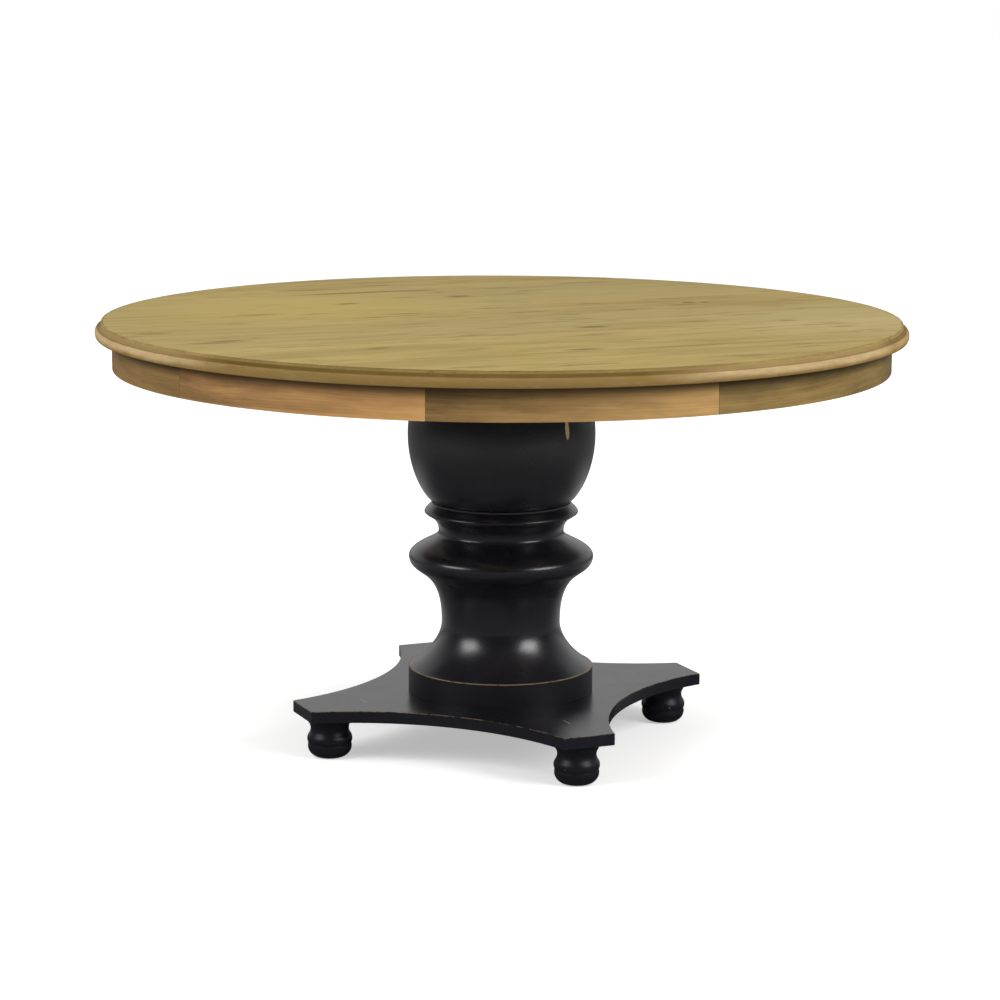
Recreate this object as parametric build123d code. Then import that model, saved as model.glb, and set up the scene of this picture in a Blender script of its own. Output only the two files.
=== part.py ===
from build123d import *
import math
import os

# Round dining table on a turned pedestal, in millimetres with +Z up.
# The origin is on the floor under the middle of the top.
# The boards run along X, and the corners of the base plate point along X and Y.

# Table top: edge-glued boards cut to a disc with a hollow-and-bead edge
TOP_DIAMETER = 1422.0
TOP_THICKNESS = 27.0
BOARD_COUNT = 6
COVE_DEPTH = 10.5
COVE_WIDTH = 6.5
COVE_HOLLOW_DEPTH = 2.6
BEAD_WIDTH = 4.5

# Apron: a ring of curved segments under the top
APRON_SET_BACK = 29.0
APRON_THICKNESS = 26.0
APRON_HEIGHT = 56.0
APRON_SEGMENTS = 9
APRON_FIRST_JOINT = 36.5
APRON_COUNTERBORE_DEPTH = 24.0
APRON_COUNTERBORE_DIAMETER = 13.0
DOWEL_DIAMETER = 10.0
DOWEL_LENGTH = 40.0

# Cleats that hold the boards flat and carry the pedestal
CLEAT_SPACING = 340.0
CLEAT_WIDTH = 80.0
CLEAT_THICKNESS = 28.0
CLEAT_END_GAP = 12.0
CLEAT_END_BEVEL = 14.0
CLEAT_SCREW_MARGIN = 30.0

# Head plate between the column and the cleats
HEAD_PLATE_THICKNESS = 28.0
HEAD_PLATE_MARGIN = 55.0
HEAD_PLATE_CORNER = 24.0
HEAD_SCREW_COUNT = 4
HEAD_SCREW_BITE = 35.0

# Turned column, heights of its members from the plinth up and diameters where it turns
PLINTH_HEIGHT = 43.0
PLINTH_DIAMETER = 330.0
PLINTH_EASE = 1.2
PLINTH_SCREW_COUNT = 4
PLINTH_SCREW_BITE = 25.0
FLARE_HEIGHT = 80.0
FLARE_SHOULDER = 1.5
WAIST_DIAMETER = 211.6
WAIST_TO_BULGE = 119.0
BULGE_DIAMETER = 329.0
BULGE_TO_NECK = 45.0
NECK_DIAMETER = 222.8
NECK_TO_RING = 35.0
RING_DIAMETER = 273.6
RING_TOP_HEIGHT = 15.0
FILLET_HEIGHT = 3.0
FILLET_DIAMETER = 247.0
BULB_FOOT_DIAMETER = 243.0
BULB_LOWER_HEIGHT = 121.0
BULB_DIAMETER = 333.0
BULB_UPPER_HEIGHT = 124.0
BULB_TOP_DIAMETER = 264.0
SPIGOT_DIAMETER = 80.0
SPIGOT_HEIGHT = 20.0
SPIGOT_CLEARANCE = 0.25

# How far each turned curve keeps its direction, as a share of its member's height or depth
FLARE_LIP_RUN = 0.43
FLARE_LIP_RISE = 0.18
FLARE_WAIST_RISE = 0.43
WAIST_RISE = 0.87
BULGE_FALL = 0.30
BULGE_RISE = 0.46
NECK_FALL = 0.36
NECK_RISE = 0.76
RING_FALL = 0.18
RING_TOP_RISE = 0.30
BULB_FOOT_RUN = 0.37
BULB_FOOT_RISE = 0.075
BULB_FALL = 0.53
BULB_RISE = 0.45
BULB_TOP_RUN = 0.36
BULB_TOP_FALL = 0.065

# Base plate with four clipped corners and hollow sides
PLATE_THICKNESS = 21.0
PLATE_REACH = 378.0
PLATE_FACET = 94.0
PLATE_WAIST = 233.0
PLATE_EASE = 1.0

# Bun feet, heights of their members from the floor up and diameters where they turn
FOOT_INSET = 51.0
FOOT_SOLE_DIAMETER = 44.0
FOOT_TOE_HEIGHT = 20.0
FOOT_LOWER_BEAD_DIAMETER = 77.5
FOOT_GROOVE_RISE = 5.0
FOOT_GROOVE_DIAMETER = 75.6
FOOT_BEAD_RISE = 8.0
FOOT_BEAD_DIAMETER = 79.5
FOOT_NECK_RISE = 17.0
FOOT_NECK_DIAMETER = 67.5
FOOT_COLLAR_RISE = 12.0
FOOT_COLLAR_DIAMETER = 75.0
FOOT_COLLAR_HEIGHT = 11.0
STUD_DIAMETER = 8.0
STUD_FOOT_LENGTH = 35.0
STUD_COVER = 6.0

# Fasteners
SCREW_DIAMETER = 5.0
SCREW_HEAD_DIAMETER = 10.0
SCREW_HEAD_HEIGHT = 3.5
SCREW_TIP_DIAMETER = 2.5
SCREW_COVER = 10.0
PIN_SIDES = 6
BOLT_DIAMETER = 8.0
BOLT_HEAD_FLATS = 13.0
BOLT_HEAD_HEIGHT = 5.5
BOLT_CLEARANCE = 0.5
BOLT_END_GAP = 2.0
BOLT_WASHER_DIAMETER = 24.0
BOLT_WASHER_THICKNESS = 2.0
INSERT_DIAMETER = 14.0
INSERT_LENGTH = 20.0
ROD_DIAMETER = 16.0
ROD_CLEARANCE = 1.0
ROD_END = 4.0
ROD_NUT_FLATS = 24.0
ROD_NUT_HEIGHT = 13.0
ROD_WASHER_DIAMETER = 50.0
ROD_WASHER_THICKNESS = 4.0

# Heights above the floor
FOOT_BEAD_Z = FOOT_TOE_HEIGHT + FOOT_GROOVE_RISE + FOOT_BEAD_RISE
FOOT_NECK_Z = FOOT_BEAD_Z + FOOT_NECK_RISE
FOOT_COLLAR_Z = FOOT_NECK_Z + FOOT_COLLAR_RISE
PLATE_Z = FOOT_COLLAR_Z + FOOT_COLLAR_HEIGHT
PLINTH_Z = PLATE_Z + PLATE_THICKNESS
FLARE_Z = PLINTH_Z + PLINTH_HEIGHT
WAIST_Z = FLARE_Z + FLARE_HEIGHT
BULGE_Z = WAIST_Z + WAIST_TO_BULGE
NECK_Z = BULGE_Z + BULGE_TO_NECK
RING_Z = NECK_Z + NECK_TO_RING
FILLET_Z = RING_Z + RING_TOP_HEIGHT
BULB_Z = FILLET_Z + FILLET_HEIGHT
BULB_EQUATOR_Z = BULB_Z + BULB_LOWER_HEIGHT
HEAD_Z = BULB_EQUATOR_Z + BULB_UPPER_HEIGHT
CLEAT_Z = HEAD_Z + HEAD_PLATE_THICKNESS
TOP_Z = CLEAT_Z + CLEAT_THICKNESS

# Sizes that follow from the ones above
TOP_RADIUS = TOP_DIAMETER / 2
BOARD_WIDTH = TOP_DIAMETER / BOARD_COUNT
APRON_OUTER = TOP_RADIUS - APRON_SET_BACK
APRON_INNER = APRON_OUTER - APRON_THICKNESS
APRON_MIDDLE = (APRON_OUTER + APRON_INNER) / 2
SEGMENT_ANGLE = 360 / APRON_SEGMENTS
CLEAT_HALF_LENGTH = math.sqrt(
    (APRON_INNER - CLEAT_END_GAP) ** 2 - (CLEAT_SPACING / 2 + CLEAT_WIDTH / 2) ** 2
)
SCREW_BITE = TOP_THICKNESS - SCREW_COVER
BOLT_Y = BOARD_WIDTH / 2
FOOT_REACH = PLATE_REACH - FOOT_INSET
ROD_BORE_RADIUS = ROD_DIAMETER / 2 + ROD_CLEARANCE
SOCKET_RADIUS = SPIGOT_DIAMETER / 2 + SPIGOT_CLEARANCE
SOCKET_DEPTH = SPIGOT_HEIGHT + SPIGOT_CLEARANCE

UPWARD = (Align.CENTER, Align.CENTER, Align.MIN)


def turned(*outline):
    """Solid of revolution about Z from the edges of a closed (radius, height) outline."""
    return revolve(Plane.XZ * make_face(Curve() + list(outline)), Axis.Z)


def rod(radius, height):
    """Upright cylinder standing on the XY plane."""
    return Cylinder(radius, height, align=UPWARD)


def washer(outer_diameter, hole_diameter, thickness):
    """Flat ring lying on the XY plane."""
    return rod(outer_diameter / 2, thickness) - rod(hole_diameter / 2, thickness)


def pin(radius, height):
    """Upright many-sided pin standing on the XY plane, for what stays hidden in the wood."""
    return extrude(RegularPolygon(radius, PIN_SIDES), height)


def drilled(blank, hole_diameter, height):
    """Blank standing on the XY plane with a many-sided hole up its middle."""
    return blank - pin(hole_diameter / 2, height)


def wood_screw(length):
    """Countersunk screw with a tapered body, pointing up, the flat of its head on the XY plane."""
    sections = (
        (SCREW_HEAD_DIAMETER, 0),
        (SCREW_DIAMETER, SCREW_HEAD_HEIGHT),
        (SCREW_TIP_DIAMETER, length),
    )
    outlines = [Pos(0, 0, z) * RegularPolygon(diameter / 2, PIN_SIDES) for diameter, z in sections]
    return loft(outlines, ruled=True)


def polar(count, radius, first_angle=0.0):
    """Places on a circle in the XY plane, each turned to face outwards."""
    step = 360 / count
    return [Rot(0, 0, first_angle + step * i) * Pos(radius, 0, 0) for i in range(count)]


def placed(places, z, shape):
    """Copies of one shape at the given places, raised to z."""
    return [place * Pos(0, 0, z) * shape for place in places]


# Places of the fasteners
def apron_screw_places():
    """One screw up through the middle of every apron segment."""
    return polar(APRON_SEGMENTS, APRON_MIDDLE, APRON_FIRST_JOINT + SEGMENT_ANGLE / 2)


def cleat_screw_places():
    """Screws a quarter board in from every joint, as far out as the cleats reach."""
    places = []
    y = BOARD_WIDTH / 4
    while y < CLEAT_HALF_LENGTH - CLEAT_SCREW_MARGIN:
        for x in (-CLEAT_SPACING / 2, CLEAT_SPACING / 2):
            places += [Pos(x, -y, 0), Pos(x, y, 0)]
        y += BOARD_WIDTH / 2
    return places


def bolt_places():
    """Four bolts, two to each cleat, clear of the cleat screws."""
    return [Pos(x, y, 0) for x in (-CLEAT_SPACING / 2, CLEAT_SPACING / 2) for y in (-BOLT_Y, BOLT_Y)]


# Fasteners in place
apron_seat_z = TOP_Z - APRON_HEIGHT + APRON_COUNTERBORE_DEPTH
apron_screws = placed(apron_screw_places(), apron_seat_z, wood_screw(TOP_Z - apron_seat_z + SCREW_BITE))
cleat_screws = placed(cleat_screw_places(), CLEAT_Z, wood_screw(CLEAT_THICKNESS + SCREW_BITE))
plinth_circle = (SPIGOT_DIAMETER + PLINTH_DIAMETER) / 4
plinth_screws = placed(
    polar(PLINTH_SCREW_COUNT, plinth_circle), PLATE_Z, wood_screw(PLATE_THICKNESS + PLINTH_SCREW_BITE)
)
head_circle = (SPIGOT_DIAMETER + BULB_TOP_DIAMETER) / 4
head_screws = placed(
    polar(HEAD_SCREW_COUNT, head_circle),
    CLEAT_Z,
    Rot(180, 0, 0) * wood_screw(HEAD_PLATE_THICKNESS + HEAD_SCREW_BITE),
)


# Table top
def table_top():
    """Whole disc with its hollow-and-bead edge and the pilot holes of the screws from below.

    Its turning starts at +Y, in the middle of the last board and clear of the glue joints.
    The curve of the bead is pulled out so far that it just reaches the radius of the top.
    """
    flat = TOP_RADIUS - BEAD_WIDTH - COVE_WIDTH
    quirk = TOP_RADIUS - BEAD_WIDTH
    bead_top = TOP_THICKNESS - COVE_DEPTH
    slant = math.hypot(COVE_WIDTH, COVE_DEPTH)
    hollow_middle = (
        (flat + quirk) / 2 - COVE_HOLLOW_DEPTH * COVE_DEPTH / slant,
        (TOP_THICKNESS + bead_top) / 2 - COVE_HOLLOW_DEPTH * COVE_WIDTH / slant,
    )
    pull = quirk + BEAD_WIDTH * 4 / 3
    disc = turned(
        Polyline((quirk, 0), (0, 0), (0, TOP_THICKNESS), (flat, TOP_THICKNESS)),
        ThreePointArc((flat, TOP_THICKNESS), hollow_middle, (quirk, bead_top)),
        Bezier((quirk, bead_top), (pull, bead_top), (pull, 0), (quirk, 0)),
    )
    return Pos(0, 0, TOP_Z) * Rot(0, 0, 90) * disc - apron_screws - cleat_screws


def top_boards():
    """The disc cut along its glue joints, from -Y to +Y."""
    boards = []
    rest = table_top()
    for i in range(1, BOARD_COUNT):
        joint = Plane((0, BOARD_WIDTH * i - TOP_RADIUS, 0), z_dir=(0, 1, 0))
        boards.append(split(rest, joint, keep=Keep.BOTTOM))
        rest = split(rest, joint, keep=Keep.TOP)
    return boards + [rest]


# Apron
def apron_dowels():
    """One dowel across each joint between two segments, lying along the ring."""
    dowel = Rot(90, 0, 0) * Pos(0, 0, -DOWEL_LENGTH / 2) * pin(DOWEL_DIAMETER / 2, DOWEL_LENGTH)
    return placed(polar(APRON_SEGMENTS, APRON_MIDDLE, APRON_FIRST_JOINT), TOP_Z - APRON_HEIGHT / 2, dowel)


def apron_segments():
    """Curved segments that butt end to end, with the holes of their dowels and screws."""
    ring = Pos(0, 0, TOP_Z - APRON_HEIGHT) * washer(2 * APRON_OUTER, 2 * APRON_INNER, APRON_HEIGHT)
    counterbore = pin(APRON_COUNTERBORE_DIAMETER / 2, APRON_COUNTERBORE_DEPTH)
    ring -= placed(apron_screw_places(), TOP_Z - APRON_HEIGHT, counterbore)
    ring = ring - apron_screws - apron_dowels()
    reach = 2 * TOP_RADIUS
    wedge = make_face(
        Polyline(
            (0, 0),
            (reach, 0),
            (reach * math.cos(math.radians(SEGMENT_ANGLE)), reach * math.sin(math.radians(SEGMENT_ANGLE))),
            close=True,
        )
    )
    sector = Pos(0, 0, TOP_Z - APRON_HEIGHT) * extrude(wedge, APRON_HEIGHT)
    turns = [APRON_FIRST_JOINT + SEGMENT_ANGLE * i for i in range(APRON_SEGMENTS)]
    return [ring & Rot(0, 0, turn) * sector for turn in turns]


# Cleats and head plate
def cleat(x):
    """Batten across the boards, bevelled at its ends, drilled for screws and threaded inserts."""
    outline = make_face(
        Polyline(
            (-CLEAT_HALF_LENGTH + CLEAT_END_BEVEL, 0),
            (CLEAT_HALF_LENGTH - CLEAT_END_BEVEL, 0),
            (CLEAT_HALF_LENGTH, CLEAT_END_BEVEL),
            (CLEAT_HALF_LENGTH, CLEAT_THICKNESS),
            (-CLEAT_HALF_LENGTH, CLEAT_THICKNESS),
            (-CLEAT_HALF_LENGTH, CLEAT_END_BEVEL),
            close=True,
        )
    )
    batten = Pos(x, 0, CLEAT_Z) * extrude(Plane.YZ * outline, CLEAT_WIDTH / 2, both=True)
    pockets = placed(bolt_places(), CLEAT_Z, pin(INSERT_DIAMETER / 2, INSERT_LENGTH))
    return batten - cleat_screws - pockets


def head_plate():
    """Board on top of the column that bolts to both cleats."""
    blank = RectangleRounded(CLEAT_SPACING + CLEAT_WIDTH, 2 * (BOLT_Y + HEAD_PLATE_MARGIN), HEAD_PLATE_CORNER)
    plate = Pos(0, 0, HEAD_Z) * extrude(blank, HEAD_PLATE_THICKNESS)
    bolt_hole = pin(BOLT_DIAMETER / 2 + BOLT_CLEARANCE, HEAD_PLATE_THICKNESS)
    rod_hole = Pos(0, 0, HEAD_Z) * rod(ROD_BORE_RADIUS, HEAD_PLATE_THICKNESS)
    return plate - placed(bolt_places(), HEAD_Z, bolt_hole) - rod_hole - head_screws


def hex_bolt():
    """Bolt pointing up, with the bearing face of its head on the XY plane."""
    across = RegularPolygon(BOLT_HEAD_FLATS / 2, 6, major_radius=False)
    reach = BOLT_WASHER_THICKNESS + HEAD_PLATE_THICKNESS + INSERT_LENGTH - BOLT_END_GAP
    return extrude(across, -BOLT_HEAD_HEIGHT) + pin(BOLT_DIAMETER / 2, reach)


# Turned column
def plinth_disc():
    """Round block on the base plate, with a socket for the turning above and an eased rim."""
    radius = PLINTH_DIAMETER / 2
    disc = turned(
        Polyline(
            (ROD_BORE_RADIUS, 0),
            (radius, 0),
            (radius, PLINTH_HEIGHT - PLINTH_EASE),
            (radius - PLINTH_EASE, PLINTH_HEIGHT),
            (SOCKET_RADIUS, PLINTH_HEIGHT),
            (SOCKET_RADIUS, PLINTH_HEIGHT - SOCKET_DEPTH),
            (ROD_BORE_RADIUS, PLINTH_HEIGHT - SOCKET_DEPTH),
            close=True,
        )
    )
    return Pos(0, 0, PLINTH_Z) * disc - plinth_screws


def lower_turning():
    """Flare, waist, bulge, neck and ring, with a spigot at both ends."""
    lip = PLINTH_DIAMETER / 2 - FLARE_SHOULDER
    waist = WAIST_DIAMETER / 2
    bulge = BULGE_DIAMETER / 2
    neck = NECK_DIAMETER / 2
    ring = RING_DIAMETER / 2
    fillet_edge = FILLET_DIAMETER / 2
    spigot = SPIGOT_DIAMETER / 2
    flare_depth = lip - waist
    return turned(
        Polyline(
            (fillet_edge, FILLET_Z),
            (fillet_edge, BULB_Z),
            (spigot, BULB_Z),
            (spigot, BULB_Z + SPIGOT_HEIGHT),
            (ROD_BORE_RADIUS, BULB_Z + SPIGOT_HEIGHT),
            (ROD_BORE_RADIUS, FLARE_Z - SPIGOT_HEIGHT),
            (spigot, FLARE_Z - SPIGOT_HEIGHT),
            (spigot, FLARE_Z),
            (lip, FLARE_Z),
        ),
        Bezier(
            (lip, FLARE_Z),
            (lip - flare_depth * FLARE_LIP_RUN, FLARE_Z + FLARE_HEIGHT * FLARE_LIP_RISE),
            (waist, WAIST_Z - FLARE_HEIGHT * FLARE_WAIST_RISE),
            (waist, WAIST_Z),
        ),
        Bezier(
            (waist, WAIST_Z),
            (waist, WAIST_Z + WAIST_TO_BULGE * WAIST_RISE),
            (bulge, BULGE_Z - WAIST_TO_BULGE * BULGE_FALL),
            (bulge, BULGE_Z),
        ),
        Bezier(
            (bulge, BULGE_Z),
            (bulge, BULGE_Z + BULGE_TO_NECK * BULGE_RISE),
            (neck, NECK_Z - BULGE_TO_NECK * NECK_FALL),
            (neck, NECK_Z),
        ),
        Bezier(
            (neck, NECK_Z),
            (neck, NECK_Z + NECK_TO_RING * NECK_RISE),
            (ring, RING_Z - NECK_TO_RING * RING_FALL),
            (ring, RING_Z),
        ),
        Bezier(
            (ring, RING_Z),
            (ring, RING_Z + RING_TOP_HEIGHT * RING_TOP_RISE),
            (fillet_edge, FILLET_Z),
        ),
    )


def bulb():
    """Squat ball at the head of the column, with a socket over the spigot below."""
    foot = BULB_FOOT_DIAMETER / 2
    equator = BULB_DIAMETER / 2
    crown = BULB_TOP_DIAMETER / 2
    ball = turned(
        Polyline(
            (crown, HEAD_Z),
            (ROD_BORE_RADIUS, HEAD_Z),
            (ROD_BORE_RADIUS, BULB_Z + SOCKET_DEPTH),
            (SOCKET_RADIUS, BULB_Z + SOCKET_DEPTH),
            (SOCKET_RADIUS, BULB_Z),
            (foot, BULB_Z),
        ),
        Bezier(
            (foot, BULB_Z),
            (foot + (equator - foot) * BULB_FOOT_RUN, BULB_Z + BULB_LOWER_HEIGHT * BULB_FOOT_RISE),
            (equator, BULB_EQUATOR_Z - BULB_LOWER_HEIGHT * BULB_FALL),
            (equator, BULB_EQUATOR_Z),
        ),
        Bezier(
            (equator, BULB_EQUATOR_Z),
            (equator, BULB_EQUATOR_Z + BULB_UPPER_HEIGHT * BULB_RISE),
            (crown + (equator - crown) * BULB_TOP_RUN, HEAD_Z - BULB_UPPER_HEIGHT * BULB_TOP_FALL),
            (crown, HEAD_Z),
        ),
    )
    return ball - head_screws


# Base plate and feet
def base_plate():
    """Four-cornered plate with hollow sides, drilled for the tie rod, the screws and the foot studs."""
    half = PLATE_FACET / 2
    middle = PLATE_WAIST / math.sqrt(2)
    corner = Line((PLATE_REACH, -half), (PLATE_REACH, half))
    side = ThreePointArc((PLATE_REACH, half), (middle, middle), (half, PLATE_REACH))
    outline = Curve() + [Rot(0, 0, 90 * i) * edge for i in range(4) for edge in (corner, side)]
    plate = extrude(make_face(outline), PLATE_THICKNESS)
    rims = plate.faces().filter_by(Axis.Z).edges()
    plate = Pos(0, 0, PLATE_Z) * chamfer(rims, PLATE_EASE)
    rod_hole = Pos(0, 0, PLATE_Z) * rod(ROD_BORE_RADIUS, PLATE_THICKNESS)
    return plate - rod_hole - plinth_screws - foot_studs()


def foot_studs():
    """One stud from each foot into the plate, hidden under the plate's top."""
    stud = pin(STUD_DIAMETER / 2, STUD_FOOT_LENGTH + PLATE_THICKNESS - STUD_COVER)
    return placed(polar(4, FOOT_REACH), PLATE_Z - STUD_FOOT_LENGTH, stud)


def bun_feet():
    """Turned feet with two beads round the ball, a hollow neck and a collar under the plate."""
    sole = FOOT_SOLE_DIAMETER / 2
    lower = FOOT_LOWER_BEAD_DIAMETER / 2
    groove = FOOT_GROOVE_DIAMETER / 2
    bead = FOOT_BEAD_DIAMETER / 2
    neck = FOOT_NECK_DIAMETER / 2
    collar = FOOT_COLLAR_DIAMETER / 2
    groove_z = FOOT_TOE_HEIGHT + FOOT_GROOVE_RISE
    shoulder = ((bead + neck) / 2, (FOOT_BEAD_Z + FOOT_NECK_Z) / 2)
    foot = turned(
        Polyline((collar, FOOT_COLLAR_Z), (collar, PLATE_Z), (0, PLATE_Z), (0, 0), (sole, 0)),
        TangentArc((lower, FOOT_TOE_HEIGHT), (sole, 0), tangent=(0, -1)),
        Line((lower, FOOT_TOE_HEIGHT), (groove, groove_z)),
        ThreePointArc((groove, groove_z), (bead, FOOT_BEAD_Z), shoulder),
        ThreePointArc(shoulder, (neck, FOOT_NECK_Z), (collar, FOOT_COLLAR_Z)),
    )
    studs = foot_studs()
    return [place * foot - studs for place in polar(4, FOOT_REACH)]


# Tie rod that draws the whole column together
def rod_nut():
    """Hexagon nut standing on the XY plane."""
    across = RegularPolygon(ROD_NUT_FLATS / 2, 6, major_radius=False) - Circle(ROD_DIAMETER / 2)
    return extrude(across, ROD_NUT_HEIGHT)


rod_washer = washer(ROD_WASHER_DIAMETER, ROD_DIAMETER + 2 * ROD_CLEARANCE, ROD_WASHER_THICKNESS)
rod_low = PLATE_Z - ROD_WASHER_THICKNESS - ROD_NUT_HEIGHT
rod_high = CLEAT_Z + ROD_WASHER_THICKNESS
rod_length = rod_high + ROD_NUT_HEIGHT - rod_low + 2 * ROD_END
bolt_washer = drilled(
    rod(BOLT_WASHER_DIAMETER / 2, BOLT_WASHER_THICKNESS),
    BOLT_DIAMETER + 2 * BOLT_CLEARANCE,
    BOLT_WASHER_THICKNESS,
)
insert = drilled(pin(INSERT_DIAMETER / 2, INSERT_LENGTH), BOLT_DIAMETER, INSERT_LENGTH)
bolt_seat = HEAD_Z - BOLT_WASHER_THICKNESS

pieces = {
    "apron_dowels": apron_dowels(),
    "apron_screws": apron_screws,
    "cleat_left": [cleat(-CLEAT_SPACING / 2)],
    "cleat_right": [cleat(CLEAT_SPACING / 2)],
    "cleat_screws": cleat_screws,
    "cleat_inserts": placed(bolt_places(), CLEAT_Z, insert),
    "head_plate": [head_plate()],
    "head_plate_screws": head_screws,
    "head_plate_bolts": placed(bolt_places(), bolt_seat, hex_bolt()),
    "head_plate_washers": placed(bolt_places(), bolt_seat, bolt_washer),
    "column_bulb": [bulb()],
    "column_lower_turning": [lower_turning()],
    "plinth_disc": [plinth_disc()],
    "plinth_screws": plinth_screws,
    "base_plate": [base_plate()],
    "foot_studs": foot_studs(),
    "tie_rod": [Pos(0, 0, rod_low - ROD_END) * rod(ROD_DIAMETER / 2, rod_length)],
    "tie_rod_nuts": [Pos(0, 0, z) * rod_nut() for z in (rod_low, rod_high)],
    "tie_rod_washers": [Pos(0, 0, z) * rod_washer for z in (PLATE_Z - ROD_WASHER_THICKNESS, CLEAT_Z)],
}
for name, solids in (
    ("top_board", top_boards()),
    ("apron_segment", apron_segments()),
    ("bun_foot", bun_feet()),
):
    for number, solid in enumerate(solids, start=1):
        pieces[f"{name}_{number}"] = [solid]

os.makedirs("parts", exist_ok=True)
for name, shapes in pieces.items():
    solids = [solid for shape in shapes for solid in shape.solids()]
    export_step(Compound(solids) if len(solids) > 1 else solids[0], f"parts/{name}.step")
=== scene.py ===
"""A round pedestal table: plank top, segmented apron, turned black column and bun feet.

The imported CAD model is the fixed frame. The pieces that show are modelled over it, and every
surface gets a procedural finish. Lengths are in metres, with +Z up, in the frame's own axes.
"""

import cmath
import logging
import math
from collections.abc import Sequence
from dataclasses import dataclass
from enum import Enum
from typing import Any

import bpy
from mathutils import Euler, Matrix, Vector


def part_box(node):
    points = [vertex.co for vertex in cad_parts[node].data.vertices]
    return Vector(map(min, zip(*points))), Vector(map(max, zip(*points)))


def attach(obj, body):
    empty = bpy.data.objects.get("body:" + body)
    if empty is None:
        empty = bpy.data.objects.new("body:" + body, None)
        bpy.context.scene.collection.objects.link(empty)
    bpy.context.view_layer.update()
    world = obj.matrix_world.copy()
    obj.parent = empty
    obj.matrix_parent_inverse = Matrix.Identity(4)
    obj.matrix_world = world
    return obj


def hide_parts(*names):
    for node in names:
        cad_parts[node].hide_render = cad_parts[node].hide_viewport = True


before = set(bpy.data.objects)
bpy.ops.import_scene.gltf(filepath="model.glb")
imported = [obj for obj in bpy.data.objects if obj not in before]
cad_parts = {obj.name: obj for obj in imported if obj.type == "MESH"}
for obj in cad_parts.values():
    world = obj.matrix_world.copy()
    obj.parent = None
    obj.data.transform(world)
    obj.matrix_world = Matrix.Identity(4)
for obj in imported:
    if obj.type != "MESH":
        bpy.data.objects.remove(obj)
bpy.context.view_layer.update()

LOG = logging.getLogger("table")

Point = tuple[float, float]
Colour = tuple[float, float, float]

BODY = "root"
FULL_TURN = 2 * math.pi
WELD = 1e-5
SHARP_ANGLE = math.radians(20)
SEED_PLANE = 0.001


class Slot(Enum):
    """Material slots of the pieces that are modelled here."""

    TOP = "tabletop_wood"
    APRON = "apron_wood"
    PAINT = "black_paint"


# Shader formulas


class Value:
    """An output socket of a shader, with the arithmetic that a formula needs."""

    def __init__(self, graph: "Graph", socket: bpy.types.NodeSocket) -> None:
        """Wraps a socket of the graph."""
        self.graph = graph
        self.socket = socket

    def output(self, name: str) -> "Value":
        """Another output of the same node, by its name."""
        return Value(self.graph, self.socket.node.outputs[name])

    def math(self, operation: str, *others: Any) -> "Value":
        """This value in a Math node, with the node's other values after it."""
        return self.graph.math(operation, self, *others)

    def smooth(self, low: float, high: float) -> "Value":
        """Rises softly from 0 at low to 1 at high.

        Args:
            low: value at which the result leaves 0.
            high: value at which the result reaches 1.

        Returns:
            The eased value, held between 0 and 1.
        """
        settings = {"interpolation_type": "SMOOTHSTEP"}
        inputs = {"Value": self, "From Min": low, "From Max": high}
        return self.graph.node("ShaderNodeMapRange", settings, inputs)

    def near(self, centre: float, reach: float) -> "Value":
        """1 at the centre, falling softly to 0 at a distance of reach."""
        return 1 - (self - centre).math("ABSOLUTE").smooth(0.0, reach)

    def __add__(self, other: Any) -> "Value":
        """Sum."""
        return self.math("ADD", other)

    def __radd__(self, other: float) -> "Value":
        """Sum with a number on the left."""
        return self.math("ADD", other)

    def __sub__(self, other: Any) -> "Value":
        """Difference."""
        return self.math("SUBTRACT", other)

    def __rsub__(self, other: float) -> "Value":
        """Difference with a number on the left."""
        return self.graph.math("SUBTRACT", other, self)

    def __mul__(self, other: Any) -> "Value":
        """Product."""
        return self.math("MULTIPLY", other)

    def __rmul__(self, other: float) -> "Value":
        """Product with a number on the left."""
        return self.math("MULTIPLY", other)

    def __truediv__(self, other: Any) -> "Value":
        """Quotient."""
        return self.math("DIVIDE", other)

    def __pow__(self, other: Any) -> "Value":
        """Power."""
        return self.math("POWER", other)


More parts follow.
